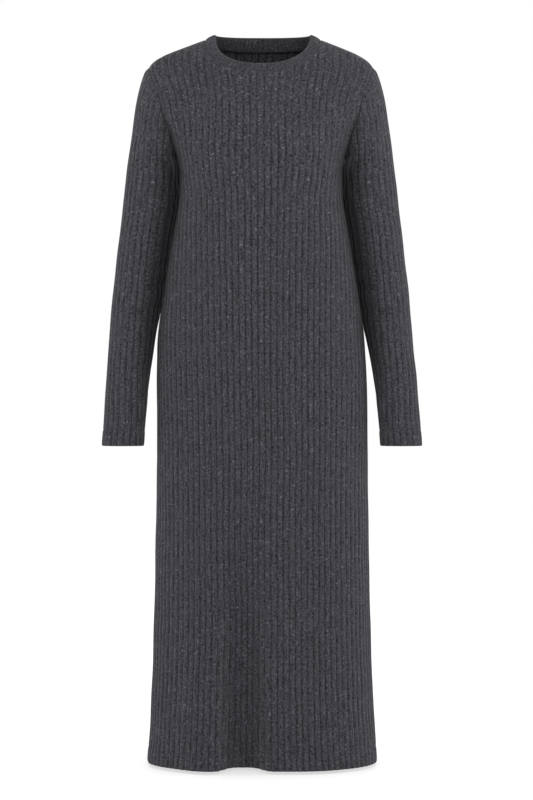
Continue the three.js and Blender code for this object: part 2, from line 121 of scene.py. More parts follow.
BODY = table(
    "z half front back square ribs",
    [
        (0, 95.36, 24, 62, 2.0, 17.5),
        (-3.3, 104.5, 27, 65, 2.0, 17.5),
        (-10, 122, 33, 69, 2.0, 17.5),
        (-16.7, 139, 40, 72, 2.0, 17.5),
        (-23.3, 155, 47, 76, 2.0, 17.5),
        (-30, 168, 54, 79, 2.0, 17.5),
        (-37, 178.5, 61, 82, 2.0, 17.5),
        (-47, 187, 70, 86, 2.0, 17.5),
        (-64, 195, 82, 91, 2.0, 17.5),
        (-84, 201, 92, 96, 2.0, 17.5),
        (-110, 205, 102, 101, 2.05, 17.5),
        (-128, 192, 108, 104, 2.15, 17.5),
        (-155, 162, 114, 106, 2.3, 17.5),
        (-182, 145, 118, 107, 2.3, 17.5),
        (-198, 138.5, 118, 107, 2.2, 17.5),
        (-225, 135, 116, 106, 2.15, 17.5),
        (-265, 135.8, 113, 104, 2.15, 18.5),
        (-325, 145.8, 111, 101, 2.2, 19.5),
        (-400, 157.8, 109, 99, 2.25, 21.0),
        (-500, 170.5, 107, 103, 2.3, 22.5),
        (-600, 173, 107, 109, 2.35, 23.1),
        (-700, 173.5, 108, 111, 2.35, 23.5),
        (-880, 176, 109, 111, 2.4, 24.1),
        (-1060, 181, 111, 114, 2.45, 24.5),
        (-1200, 188.5, 116.5, 118, 2.5, 24.5),
    ],
)
ARMHOLE = table("z ribs", [(-128, 15.1), (-143, 15.17), (-160, 15.5), (-180, 16.4), (-198, 17.5)])
print("levels of the body:", len(BODY), "of the armhole:", len(ARMHOLE))

# %% [markdown]
# ## Levels of a sleeve
# A sleeve's level is an ellipse between an outer and an inner line, and the lower arm comes forward a
# little. The table holds the left sleeve, and the right one is its mirror image. Modelling one sleeve and
# mirroring it keeps the two the same size, as two cut from one pattern are, and only the creases differ.

# %% Sleeve levels
SLEEVE = table(
    "z outer inner depth forward ribs",
    [
        (-47, 187, 63, 36, 0, 13.5),
        (-60, 193.5, 83, 41, 0, 13.5),
        (-84, 201, 100, 51, 0, 13.5),
        (-110, 206.5, 111, 57, 0, 13.5),
        (-142, 211.5, 123, 57, 0, 13.5),
        (-170, 215, 132, 54, 0, 13.5),
        (-198, 218.7, 140.1, 51, 0, 13.5),
        (-215, 221, 138.3, 50, 0, 13.5),
        (-240, 224, 137.2, 49, 0, 13.5),
        (-267, 227, 138.3, 48.5, 0, 13.5),
        (-320, 233, 147.8, 48, 1, 13.5),
        (-385, 240.5, 158.6, 46.5, 3, 13.0),
        (-450, 247, 169.6, 44, 7, 12.5),
        (-505, 251, 177.5, 41, 11, 12.0),
        (-560, 256.5, 187, 38, 16, 11.5),
        (-640, 262.5, 196, 35.5, 23, 10.5),
        (-676, 265, 198.5, 35, 26, 10.5),
    ],
)
print("levels of a sleeve:", len(SLEEVE))

# %% [markdown]
# ## Curves through the tables
# Each column of a table becomes a smooth curve against height that never overshoots between two rows. A
# plain spline would bulge beside a straight stretch. Here the slopes are the harmonic means of the
# neighbouring spans, which keeps a straight side straight.


# %% Curves
def curve_of(levels, key):
    rows = sorted(levels, key=lambda row: row["z"])
    z = np.array([row["z"] for row in rows], float)
    v = np.array([row[key] for row in rows], float)
    slope = np.diff(v) / np.diff(z)
    product, total = slope[:-1] * slope[1:], slope[:-1] + slope[1:]
    inner = np.where(product > 0, 2 * product / np.where(total == 0, 1, total), 0)
    tangent = np.concatenate([[slope[0]], inner, [slope[-1]]])

    def at(level):
        level = np.clip(level, z[0], z[-1])
        i = np.clip(np.searchsorted(z, level, side="right") - 1, 0, len(z) - 2)
        span, rise = z[i + 1] - z[i], v[i + 1] - v[i]
        t = (level - z[i]) / span
        a, b = span * tangent[i] - rise, rise - span * tangent[i + 1]
        return v[i] + t * (rise + (1 - t) * (a * (1 - t) + b * t))

    return at


body_half, body_square = curve_of(BODY, "half"), curve_of(BODY, "square")
body_depth = {-1: curve_of(BODY, "front"), 1: curve_of(BODY, "back")}
body_ribs, armhole_ribs = curve_of(BODY, "ribs"), curve_of(ARMHOLE, "ribs")
print("half width at the waist", round(float(body_half(-265)), 1), "mm")

# %% [markdown]
# ## Sway
# Nothing soft hangs quite true. The neck and the skirt stand two or three millimetres to the wearer's
# left of the chest. It is added last of all, so every piece leans alike and the seams stay closed. The
# two helpers say where something begins or ends on the way down, and over how many millimetres.


# %% Sway
def smooth(t):
    c = np.clip(t, 0, 1)
    return c * c * (3 - 2 * c)


def below(z, start, over):
    """0 down to a level, and growing to 1 from there on."""
    return smooth((-z - start) / over)


def above(z, end, over):
    """1 at first, and shrinking to 0 at a level further down."""
    return smooth((z + end) / over)


NECK_SWAY = 3.2
SKIRT_SWAY = 2.2


def sway(z):
    return NECK_SWAY * above(z, 42, 42) + SKIRT_SWAY * below(z, 450, 250)


print("sway at the hem", float(sway(-LENGTH)), "mm")

# %% [markdown]
# ## The body as a net of ribs and rows
# A knitted panel is a net, so the natural way to lay it on the form is to ask where a given rib is at a
# given height. Walking round every level at an even rib pitch gives that. Above the underarm the pitch
# stays that of the chest, so ribs run off the panel's edge there, as they do in knitting.

# %% Body net
LEVELS = np.arange(-LENGTH, 0.5, 2.0)
COUNTS = np.linspace(0, 25, 251)
CHEST_PITCH = 11.3
CHEST_EASE = 40  # the pitch of the chest is reached this far above the underarm


def walk_round(side, z):
    """Places round one level from the centre line to the side, and the distance walked."""
    turn = np.linspace(math.pi / 2, 0, 241)
    power = 2 / body_square(z)
    x = body_half(z) * np.maximum(np.cos(turn), 0) ** power
    y = body_depth[side](z) * np.maximum(np.sin(turn), 0) ** power
    return x, y, np.concatenate([[0], np.cumsum(np.hypot(np.diff(x), np.diff(y)))])


def body_net(side):
    net = np.empty((3, len(LEVELS), len(COUNTS)))
    underarm_pitch = walk_round(side, -UNDERARM)[2][-1] / body_ribs(-UNDERARM)
    for i, z in enumerate(LEVELS):
        x, y, length = walk_round(side, z)
        if z < -UNDERARM:
            pitch = length[-1] / body_ribs(z)
        else:
            ease = smooth((z + UNDERARM) / CHEST_EASE)
            pitch = underarm_pitch + (CHEST_PITCH - underarm_pitch) * ease
        distance = np.minimum(length[-1], COUNTS * pitch)
        net[:, i] = np.interp(distance, length, x), np.interp(distance, length, y), distance
    return net


nets = {-1: body_net(-1), 1: body_net(1)}
print("rib pitch at the hem", round(float(nets[-1][2, 0, 10] / COUNTS[10]), 2), "mm")

# %% [markdown]
# ## Looking a place up
# Between its levels and counts the net is read by taking shares of the four points around. Working each
# place out anew would give the same answer, only far more slowly. The sleeves use the same helper.


# %% Look up
def look_up(net, levels, counts, count, z):
    """Across, depth and distance walked, for a rib counted from the centre at a height."""
    u = np.clip((z - levels[0]) / (levels[1] - levels[0]), 0, len(levels) - 1.001)
    v = np.clip(count / (counts[1] - counts[0]), 0, len(counts) - 1.001)
    i, j = u.astype(int), v.astype(int)  # the last row and column are never passed, thanks to 1.001
    s, t = u - i, v - j
    low = (1 - t) * net[:, i, j] + t * net[:, i, j + 1]
    high = (1 - t) * net[:, i + 1, j] + t * net[:, i + 1, j + 1]
    return (1 - s) * low + s * high


tenth_rib = look_up(nets[-1], LEVELS, COUNTS, np.array([10.0]), np.array([-600.0]))
print("the tenth rib half way down is", round(float(tenth_rib[0, 0]), 1), "mm from the centre line")

# %% [markdown]
# ## Folds of the skirt
# The skirt hangs in a few long soft folds that die out at the hip: one deep trough left of the middle
# with a round lobe on either side, and others on the back. Draping it by cloth simulation would give folds
# too, but not these, so each is placed. A depth below nought is a lobe that stands out.

# %% Skirt folds
SKIRT_FOLDS = table(
    "side at width depth top power",
    [
        (-1, -31.5, 28.5, 39, -640, 4),
        (-1, -100, 30, -11, -700, 2),
        (-1, 88, 46, -5, -760, 2),
        (-1, -150, 15, 1.5, -560, 2),
        (1, 48, 24, 22, -720, 2),
        (1, -70, 30, 14, -820, 2),
    ],
)
print("skirt folds:", len(SKIRT_FOLDS))

# %% [markdown]
# ## Creases of the body
# Shorter creases pull from the underarms to the bust, cross the small of the back, and run down over the
# hips. Each is a line from one point to another, as distance from the centre line and height, with a
# width and a depth. Sculpting could make them as well, but a list gives the same creases on each run.

# %% Body creases
CREASES = table(
    "side x0 z0 x1 z1 width depth",
    [
        (-1, -150, -196, -92, -150, 9, 2.6),
        (-1, 152, -198, 98, -160, 10, 2.4),
        (-1, -150, -226, -70, -222, 11, 2.2),
        (-1, 148, -232, 84, -216, 9, 2.0),
        (-1, -140, -150, -120, -96, 8, 2.2),
        (-1, 142, -158, 124, -104, 8, 2.2),
        (-1, -60, -205, 58, -208, 13, 2.4),
        (-1, -120, -330, -40, -352, 15, 1.8),
        (-1, 36, -318, 128, -338, 14, 1.6),
        (-1, -6, -560, -20, -700, 13, 2.6),
        (-1, 96, -500, 88, -760, 17, 2.0),
        (-1, -118, -470, -128, -700, 16, 2.4),
        (1, -150, -198, -96, -168, 10, 2.8),
        (1, 152, -200, 92, -160, 10, 2.6),
        (1, -88, -292, 80, -300, 17, 3.4),
        (1, -96, -330, 30, -342, 15, 2.6),
        (1, -20, -90, -64, -190, 15, 2.0),
        (1, 26, -94, 70, -200, 15, 2.0),
        (1, 66, -520, 92, -800, 18, 3.0),
        (1, -110, -560, -100, -820, 17, 2.6),
    ],
)
print("creases of the body:", len(CREASES))

# %% [markdown]
# ## Folds as depth
# Every fold is felt as a depth by which the cloth lies further in. A crease is a trough with a rounded
# section along its line, deepest at its middle, so it stays as soft as heavy knit. The bust gives the
# front a low crown. All depths are added up, which lets folds run into each other without an edge.

# %% Folds as depth
BUST = dict(across=66, drop=168, wide=42, tall=40, rise=5)


def along_line(x, z, crease):
    """How much of a crease is felt at a point of the cloth, from 0 to 1."""
    dx, dz = crease["x1"] - crease["x0"], crease["z1"] - crease["z0"]
    from_x, from_z = x - crease["x0"], z - crease["z0"]
    t = np.clip((from_x * dx + from_z * dz) / (dx * dx + dz * dz), 0, 1)
    away = np.hypot(from_x - t * dx, from_z - t * dz)
    return np.exp(-0.5 * (away / crease["width"]) ** 2) * np.sin(math.pi * (0.12 + 0.76 * t))


def fold_depth(side, x, z):
    inward = np.zeros_like(x)
    for fold in SKIRT_FOLDS:
        if fold["side"] == side:
            share = smooth((fold["top"] - z) / (fold["top"] + LENGTH))
            away = np.abs(x - fold["at"]) / fold["width"]
            inward += fold["depth"] * share * np.exp(-0.5 * away ** fold["power"])
    if side < 0:
        up, across = (z + BUST["drop"]) / BUST["tall"], (np.abs(x) - BUST["across"]) / BUST["wide"]
        inward -= BUST["rise"] * np.exp(-0.5 * (up * up + across * across))
    for crease in CREASES:
        if crease["side"] == side:
            inward += crease["depth"] * along_line(x, z, crease)
    return inward


trough = fold_depth(-1, np.array([-31.5]), np.array([-1190.0]))
print("the main trough at the hem is", round(float(trough[0]), 1), "mm deep")

# %% [markdown]
# ## A point of the body
# Up to the bust the net gives the place of a rib. Above the armhole's middle the ribs fan out until they
# run straight up into the shoulder seam, so there the place across comes from the count and the depth
# from the rounded outline. The folds are taken off the depth and fade out at the side seam.

# %% Body point
RIB_FAN = (-120, -40)
SEAM_FADE = 40  # folds fade out where the body's depth gets less than this


def body_point(side, rib, z):
    """Where a rib of the front or the back is at a height."""
    count, sign = np.abs(rib), np.where(rib < 0, -1.0, 1.0)
    x, y, distance = look_up(nets[side], LEVELS, COUNTS, count, z)
    fan = smooth((z - RIB_FAN[0]) / (RIB_FAN[1] - RIB_FAN[0]))
    half, square = body_half(z), body_square(z)
    fanned = np.minimum(half, x + (count * SHOULDER_HALF / SHOULDER_RIBS - x) * fan)
    rounded = body_depth[side](z) * np.maximum(1 - (fanned / half) ** square, 0) ** (1 / square)
    y = np.where(fan > 0, rounded, y)
    y = np.where((z <= -UNDERARM) & (count >= body_ribs(z) - 1e-6), 0, y)
    edge = np.minimum(1, y / SEAM_FADE)
    depth = y - edge * fold_depth(side, sign * distance, z)
    return np.stack([sign * np.where(fan > 0, fanned, x), side * depth, z + 0 * x], axis=-1)


bust_line = body_point(-1, np.array([6.0]), np.array([-168.0]))
print("the bust stands", round(-float(bust_line[0, 1])), "mm before the side seams")

# %% [markdown]
# ## Edges of the panels
# The neck edge, the shoulder seam and the armhole are lines on this form. The top edge of a panel is found
# rib by rib, by halving the range of heights until the rib meets the neck's curve or the shoulder line.
# Cutting the finished mesh with a curve would leave a ragged edge; this way every rib ends on its seam.


# %% Panel edges
def halving(falls, low, high):
    """Height where a falling quantity passes zero, for many ribs at once."""
    for _ in range(45):
        middle = (low + high) / 2
        still_above = falls(middle) > 0
        low, high = np.where(still_above, middle, low), np.where(still_above, high, middle)
    return (low + high) / 2


def neck_half(side, z):
    down = np.clip(-z / NECK_DROP[side], 0, 1)
    return NECK_HALF * np.maximum(1 - down**NECK_SQUARENESS, 0) ** (1 / NECK_SQUARENESS)


def body_top(side, rib):
    count = np.abs(rib)
    zero = np.zeros_like(count)
    across = count * SHOULDER_HALF / SHOULDER_RIBS
    shoulder = halving(lambda z: body_half(z) - across, zero - SHOULDER_DROP, zero)
    neck = halving(
        lambda z: body_point(side, count, z)[..., 0] - neck_half(side, z), zero - NECK_DROP[side], zero
    )
    return np.where(count >= NECK_RIBS, shoulder, neck)


def armhole(side, z):
    ribs = np.where(z > -ARM_MID, SHOULDER_RIBS, armhole_ribs(z))
    return body_point(side, ribs, z)


print("front neck edge at the centre", round(float(body_top(-1, np.array([0.3]))[0]), 1), "mm")

# %% [markdown]
# ## Rib relief
# Seen close, a rib is a broad soft ridge and the groove beside it is a narrow crease. Bump alone would
# leave the outline and the hem smooth, so the ribs are real shape. They flatten where a seam cuts them,
# and no two are quite alike, so each has its own small share more or less.

# %% Ribs
RIB_HEIGHT = 2.1
RIB_BROADNESS = 2.6  # 2 is a round ridge, and more is a broad one with narrow grooves
RIB_STEPS = (-0.5, -0.38, -0.22, 0.0, 0.22, 0.38)  # where the net has columns on each rib
RIB_ENDS = 0.8  # of a rib, over which it flattens towards a cut
PANEL_RIBS = 24.5  # from the centre line to the side seam at the hem


def rib_relief(rib, left, height, seed):
    """How far a rib stands out, where so many ribs are left to the panel's edge."""
    off = np.abs(rib - np.round(rib)) * 2
    own = np.random.default_rng(seed).uniform(0.8, 1.15, 80)[np.round(rib).astype(int) + 30]
    return height * own * (1 - off**RIB_BROADNESS) * np.clip(left / RIB_ENDS, 0, 1)


def rib_columns(most):
    starts = np.arange(-most, most, 1.0)
    return np.concatenate([(starts[:, None] + 0.5 + np.array(RIB_STEPS)).ravel(), [most]])


print("columns across a panel:", len(rib_columns(PANEL_RIBS)))

# %% [markdown]
# ## Unevenness
# Worn knit is never quite flat between its folds. A few long waves at random slants give that, seeded so
# that they are the same on each run. A displacement texture would do too, but it would also move seams.


# %% Unevenness
def unevenness(x, z, seed, wave, height):
    """Seven long waves added up, at random slants."""
    pick = np.random.default_rng(seed)
    total = np.zeros_like(x)
    for _ in range(7):
        angle = pick.uniform(0, math.pi)
        phase = pick.uniform(0, 7)
        scale = pick.uniform(0.6, 1.7)
        slanted = x * math.cos(angle) + z * math.sin(angle)
        total += np.sin(slanted * 2 * math.pi / (wave * scale) + phase)
    return height * total / 7


sample = unevenness(np.arange(0.0, 400, 10), np.zeros(40), 20, 130, 1.3)
print("unevenness from", round(float(sample.min()), 2), "to", round(float(sample.max()), 2), "mm")

# %% [markdown]
# ## The way outwards
# Relief stands straight off the form, so each point needs the direction outwards. Two short steps along
# the net, across and up, give it as their cross product. A finished mesh has normals as well, but these
# are needed before there is one.


# %% Outward direction
def normals_of(point, rib, z, flip):
    """The outward direction of a net, from two short steps along it."""
    inward = np.where(rib > 0, -1.0, 1.0)
    here = point(rib, z)
    across = (point(rib + inward * 0.05, z) - here) * inward[..., None]
    up = here - point(rib, z - 0.25)
    normal = np.cross(across, up) * flip
    return normal / np.maximum(np.linalg.norm(normal, axis=-1, keepdims=True), 1e-9)


def front_point(r, h):
    return body_point(-1, r, h)


middle_way = normals_of(front_point, np.array([0.5]), np.array([-400.0]), 1)
print("outwards at the middle of the front:", [round(float(v), 2) for v in middle_way[0]])

# %% [markdown]
# ## Cloth from a flat grid
# Each piece starts as a flat grid, like the knitted blank that a machine makes, and its points are then
# carried to their places on the form. The grid's own coordinates are kept as a map of ribs and rows, which
# the yarn's pattern follows. Points that a seam has gathered into one are merged, and Solidify gives the
# knit its thickness inwards, so the outside keeps its size. An attribute on the points carries the
# painted shade between sleeve and body.

# %% Cloth maker
KNIT = 1.5  # thickness of the cloth
MAP_UNIT = 10  # mm of a row's height for one unit of the map
MERGED = 4e-5  # metres, under which two points become one
SLIVER = 2e-5


def cloth(name, places, ribs, rows, thickness=KNIT, painted_shade=None):
    """A shell through a net of places, ordered by row and column and given in millimetres."""
    tall, wide = places.shape[:2]
    mesh = bpy.data.meshes.new(name)
    bm = bmesh.new()
    bmesh.ops.create_grid(bm, x_segments=wide - 1, y_segments=tall - 1, size=1)
    uv = bm.loops.layers.uv.new("knit")
    # this attribute carries painted shade, which darkens the yarn's colour between sleeve and body
    shade = bm.verts.layers.float.new("painted_shade")
    net = {}
    for v in bm.verts:
        i, j = round((v.co.x + 1) / 2 * (wide - 1)), round((v.co.y + 1) / 2 * (tall - 1))
        net[v] = (float(ribs[j, i]), float(rows[j, i]) / MAP_UNIT)
        v.co = places[j, i] * MM
        v[shade] = 0.0 if painted_shade is None else float(painted_shade[j, i])
    for face in bm.faces:
        face.smooth = True
        for loop in face.loops:
            loop[uv].uv = net[loop.vert]
    bmesh.ops.remove_doubles(bm, verts=bm.verts, dist=MERGED)
    bmesh.ops.dissolve_degenerate(bm, dist=SLIVER, edges=bm.edges)
    bm.to_mesh(mesh)
    area = sum(f.calc_area() for f in bm.faces)
    bm.free()
    piece = bpy.data.objects.new(name, mesh)
    bpy.context.scene.collection.objects.link(piece)
    wall = piece.modifiers.new("knit thickness", "SOLIDIFY")
    wall.thickness = thickness * MM
    wall.offset = -1  # inwards
    wall.use_even_offset = False
    print(name, "quads", len(mesh.polygons), "cloth", round(area, 4), "square metres")
    return piece


# %% [markdown]
# ## Turned hems
# The hem and the cuffs are folded under once and caught on the inside. So the net begins inside, goes
# down, turns at the edge and comes up outside. A bevelled edge would look as thick as one layer. The
# doubled strip stands a little proud, and a faint groove above it shows where it is caught.

# %% Hem rows
# Height above the edge, and how far the cloth lies inwards of its form.
TURNED = [
    (26.0, 3.6),
    (17.0, 3.6),
    (8.0, 3.5),
    (2.2, 3.1),
    (0.4, 2.0),
    (0.2, 0.7),
    (1.6, -0.1),
    (5.0, -0.4),
    (12.0, -0.5),
    (20.0, -0.4),
    (24.0, -0.2),
    (26.0, 0.5),
    (28.0, 0.1),
    (32.0, 0.0),
]


def rows_from(edge, top_level, count, shares):
    """Rows as height, inward set and share of the way on to the piece's own top edge."""
    rows = [(edge + up, inset, 0.0) for up, inset in TURNED]
    first = rows[-1][0]
    for n in range(1, count + 1):
        rows.append((first + (top_level - first) * n / count, 0.0, 0.0))
    for n in range(1, shares + 1):
        rows.append((top_level, 0.0, n / shares))
    return np.array(rows)


def spread(rows, columns):
    """The three values of each row, over all columns."""
    return (rows[:, k][:, None] + 0 * columns[None, :] for k in range(3))


BODY_ROWS = rows_from(-LENGTH, -ARM_MID, 118, 26)
print("rows of a panel:", len(BODY_ROWS))

# %% [markdown]
# ## The net of a panel
# Each panel runs from hem to shoulder in one piece. Below the armhole's middle its rows are level, and
# from there up they spread towards the panel's own top edge, so no row is cut by the neck. Ribs past the
# seam are laid on it, and merge there later.

# %% Panel net
TOP_CROWDING = 2.4  # rows lie closer together towards the top edge


def panel_net(side):
    """Ribs, heights, top edge, share of the way up to it, inward set, and the last rib of each row."""
    columns = rib_columns(PANEL_RIBS)
    level, inset, share = spread(BODY_ROWS, columns)
    limit = np.where(level <= -UNDERARM, body_ribs(level), armhole_ribs(level))
    limit = np.where(share > 0, SHOULDER_RIBS, limit)
    rib = np.sign(columns)[None, :] * np.minimum(np.abs(columns)[None, :], limit)
    top = body_top(side, rib[-1])[None, :]
    z = level + (top - level) * (1 - (1 - share) ** TOP_CROWDING)
    z = np.where(share > 0, z, level)
    return rib, z, top, share, inset, limit


print("points of the front's net:", panel_net(-1)[0].size)

# %% [markdown]
# ## Relief of a panel
# The knit is pulled wide over the chest and shoulders, so the ribs lie flatter there. Where a sleeve lies
# against the side they are pressed flat. At its seams the cloth turns in a little, which gives the fine
# dark line of a linked seam.

# %% Panel relief
RIB_PITCH = 10  # mm, roughly
CHEST_RIBS = 0.62  # height of the chest's ribs beside those of the skirt
BODY_SIDE = 1.1  # how far the pressed ribs stand out at the side of the body
PRESSED_RIBS = 4.6  # how many ribs from the side seam a sleeve can press
SEAM_TURN = 0.9  # how far the cloth turns in at a seam
SEAM_REACH = 1.2
SHOULDER_TURN = 0.7
SEEDS = dict(drift=3, ribs=11, waves=21, sleeve_ribs=40, sleeve_waves=60)


def panel_relief(side, rib, z, top, share, inset, left):
    """How far each point stands out of the form."""
    height = RIB_HEIGHT * (CHEST_RIBS + (1 - CHEST_RIBS) * below(z, 110, 150))
    near_top = np.where(share > 0, smooth((top - z) / 6), 1)
    pressed = above(z, 520, 60) * below(z, 150, 40) * smooth((PRESSED_RIBS - left) / 2.4)
    waves = unevenness(rib * RIB_PITCH, z, SEEDS["waves"] + side, 130, 1.3)
    out = rib_relief(rib, left, height, SEEDS["ribs"] + side) * near_top
    out += waves * np.clip(left / 2, 0, 1) * near_top
    out -= pressed * np.maximum(out - BODY_SIDE, 0)
    out -= inset + (SEAM_TURN - 0.4 * pressed) * np.exp(-((left * RIB_PITCH / SEAM_REACH) ** 2))
    out -= np.where(share >= 1, SHOULDER_TURN, 0)
    return out


print("rib height on the chest", round(RIB_HEIGHT * CHEST_RIBS, 1), "mm, on the skirt", RIB_HEIGHT, "mm")

# %% [markdown]
# ## Front and back
# The ribs wander a little from their true line, and then the relief is added along the way outwards. The
# side's colour gets painted shade where a sleeve lies against it, carried to the yarn by an attribute. The
# light alone would leave this crease too pale, because the modelled cloths lie a thread apart.

# %% Body panels
# painted shade: the side's colour is darkened where a sleeve lies against it
SIDE_SHADE = 0.58  # how much of the daylight the side loses under the sleeve
SIDE_SHADE_REACH = 20  # how far in from the side it reaches
RIB_DRIFT = 0.16  # of a rib


def body_panel(name, side):
    rib, z, top, share, inset, limit = panel_net(side)
    left = limit - np.abs(rib)

    def point(r, h):
        return body_point(side, r, h)

    drift = unevenness(rib * RIB_PITCH, z, SEEDS["drift"] + side, 240, RIB_DRIFT)
    drift = drift * np.clip(left, 0, 1) * np.clip(-z / 60 - 0.5, 0, 1)
    inside = np.sign(rib) * np.minimum(np.abs(rib + drift), limit - 1e-3 * (left > 0))
    base = point(np.where(left > 0, inside, rib), z)
    normal = normals_of(point, rib, z, -side)
    out = panel_relief(side, rib, z, top, share, inset, left)
    places = base + normal * out[..., None]
    from_side = body_half(z) + BODY_SIDE - np.abs(places[..., 0])
    near_side = np.clip(1 - from_side / SIDE_SHADE_REACH, 0, 1)
    # painted shade at the body's side, under the sleeve
    painted_shade = SIDE_SHADE * near_side**2 * below(z, 175, 60) * above(z, 560, 90)
    places[..., 0] += sway(z)
    if side > 0:
        places, rib, z, painted_shade = (net[:, ::-1] for net in (places, rib, z, painted_shade))
    return cloth(name, places, rib, z, painted_shade=painted_shade)


front = body_panel("front_cloth", -1)
back = body_panel("back_cloth", 1)

# %% [markdown]
# ## The form of a sleeve
# A sleeve is one tube with its seam along the underarm. Ribs are counted from the outer line, forwards
# positive. As with the body, walking round each level at an even pitch says where a rib is. The pitch of
# the underarm is kept above it, where only the outer part of each level is sleeve.

# %% Sleeve form
sleeve_outer, sleeve_inner = curve_of(SLEEVE, "outer"), curve_of(SLEEVE, "inner")
sleeve_depth, sleeve_forward = curve_of(SLEEVE, "depth"), curve_of(SLEEVE, "forward")
sleeve_ribs = curve_of(SLEEVE, "ribs")
SLEEVE_LEVELS = np.arange(-SLEEVE_END, -46.5, 1.0)
SLEEVE_COUNTS = np.linspace(0, SLEEVE_RIBS, 271)
HALF_TURN = np.linspace(0, math.pi, 361)


def round_sleeve(z):
    middle, reach = (sleeve_outer(z) + sleeve_inner(z)) / 2, (sleeve_outer(z) - sleeve_inner(z)) / 2
    x, y = middle + reach * np.cos(HALF_TURN), sleeve_depth(z) * np.sin(HALF_TURN)
    return x, y, np.concatenate([[0], np.cumsum(np.hypot(np.diff(x), np.diff(y)))])


def walk_sleeve():
    net = np.empty((3, len(SLEEVE_LEVELS), len(SLEEVE_COUNTS)))
    for i, z in enumerate(SLEEVE_LEVELS):
        x, y, length = round_sleeve(z)
        low = min(z, -UNDERARM)
        pitch = round_sleeve(low)[2][-1] / sleeve_ribs(low)
        distance = np.minimum(length[-1], SLEEVE_COUNTS * pitch)
        net[:, i] = np.interp(distance, length, x), np.interp(distance, length, y), distance
    return net


sleeve_net = walk_sleeve()


def sleeve_form(rib, z):
    """Where a rib of the left sleeve is at a height, and its distance round."""
    x, y, distance = look_up(sleeve_net, SLEEVE_LEVELS, SLEEVE_COUNTS, np.abs(rib), z)
    y = np.where((z <= -UNDERARM) & (np.abs(rib) >= sleeve_ribs(z) - 1e-6), 0, y)
    side = np.where(rib >= 0, -1.0, 1.0)
    return np.stack([x, side * y - sleeve_forward(z), z + 0 * x], axis=-1), distance


print("rib pitch at the upper arm", round(float(sleeve_net[2, 478, 20] / SLEEVE_COUNTS[20]), 2), "mm")

# %% [markdown]
# ## Where the sleeve meets the armhole
# Each rib of the sleeve ends at the height where it reaches the armhole, and a table from distance round
# to height gives that. The last stretch below it is eased onto the seam, as a knitter would ease the cap
# in. A boolean cut of two tubes would leave a hard edge and torn ribs.

# %% Sleeve cap
CAP_LEVELS = np.linspace(-UNDERARM, -SHOULDER_DROP, 303)
CAP_EASE = 85  # the stretch below the seam over which the sleeve is eased onto it
UPPER_PITCH = round_sleeve(-UNDERARM)[2][-1] / SLEEVE_RIBS


def cap_table(side):
    seam = armhole(side, CAP_LEVELS)
    reach = []
    for z, x in zip(CAP_LEVELS, seam[:, 0]):
        wx, _, length = round_sleeve(z)
        reach.append(np.interp(-x, -wx, length))
    order = np.argsort(reach)
    return np.array(reach)[order], CAP_LEVELS[order]


cap_tables = {-1: cap_table(-1), 1: cap_table(1)}


def sleeve_top(rib):
    distance = np.abs(rib) * UPPER_PITCH
    front_top, back_top = (np.interp(distance, *cap_tables[side]) for side in (-1, 1))
    cap_top = np.where(rib >= 0, front_top, back_top)
    return np.where(np.abs(rib) >= SLEEVE_RIBS - 1e-6, -UNDERARM, cap_top)


def sleeve_point(rib, z, top):
    form, _ = sleeve_form(rib, z)
    share = np.clip((top - z) / CAP_EASE, 0, 1)
    ease = ((1 - share) ** 2 * (1 + 2 * share))[..., None]
    seam = np.where((rib >= 0)[..., None], armhole(-1, top), armhole(1, top))
    return form + ease * (seam - sleeve_form(rib, top)[0])


cap_reach = cap_tables[-1][0]
print("the front half of the cap is", round(float(cap_reach.max() - cap_reach.min()), 1), "mm wide")

# %% [markdown]
# ## Where a sleeve rests on the body
# Down to the elbow the arm lies against the side, and the two cloths press each other flat there. So the
# sleeve's inner side is first drawn in by a few millimetres and then held off the body's side by the
# thickness of a thread. A simulation could press them together too, but it would move the outline.

# %% Contact
CONTACT = table(
    "z draw",
    [
        (-198, 0.5),
        (-215, 4),
        (-265, 5),
        (-320, 5),
        (-385, 5),
        (-425, 4.6),
        (-450, 3.4),
        (-475, 1),
        (-500, 0),
    ],
)
contact_draw = curve_of(CONTACT, "draw")
OPENS_LOWER = {1: 26, -1: 0}  # the left sleeve lies against the side a little further down
CLEARANCE = 0.6


def body_side(places):
    """Where the body's side lies beside a point of the sleeve."""
    z = places[..., 2]
    square = body_square(z)
    depth = np.where(places[..., 1] < 0, body_depth[-1](z), body_depth[1](z)) + 1.5
    share = np.clip(np.abs(places[..., 1]) / depth, 0, 1)
    return (body_half(z) + BODY_SIDE) * (1 - share**square) ** (1 / square)


def rest_on_body(places, normal, hand):
    """The sleeve's places, drawn in to the body's side and held off it."""
    z = places[..., 2]
    lifted = z + OPENS_LOWER[hand] * below(z, 380, 60)
    inner_side = smooth((-normal[..., 0] - 0.1) / 0.8)
    out = places.copy()
    out[..., 0] -= contact_draw(lifted) * inner_side * (z < -198)
    limit = body_side(places) + hand * sway(z) + CLEARANCE
    out[..., 0] = np.maximum(out[..., 0], np.where(z < -200, limit, -1e3))
    return out


print("the sleeve is drawn in by up to", float(contact_draw(-300)), "mm and held", CLEARANCE, "mm off")

# %% [markdown]
# ## Painted shade between sleeve and body
# The closed crease between them is the darkest line of the whole dress, and its shade is painted. The
# sleeve's inner side gets this painted shade from the width of the gap beside it: all of it at the touch,
# and none where the gap is as wide as the reach.

# %% Shade between
# the painted shade on the sleeve fades out as the gap to the body widens to this
PAINTED_SHADE_REACH = 50  # how wide the gap is where daylight reaches the sleeve fully


def painted_crease_shade(places):
    """The painted shade of a point between the sleeve and the body, from 0 in the open to 1 at the touch.
    """
    z = places[..., 2]
    gap = np.clip((places[..., 0] - body_side(places)) / PAINTED_SHADE_REACH, 0, 1)
    return (1 - gap**1.1) * below(z, 175, 60) * above(z, 640, 130)


inner_arm = painted_crease_shade(np.array([[[150.0, 0.0, -300.0]]]))
print("hollow at the inside of the upper arm", round(float(inner_arm[0, 0]), 2))

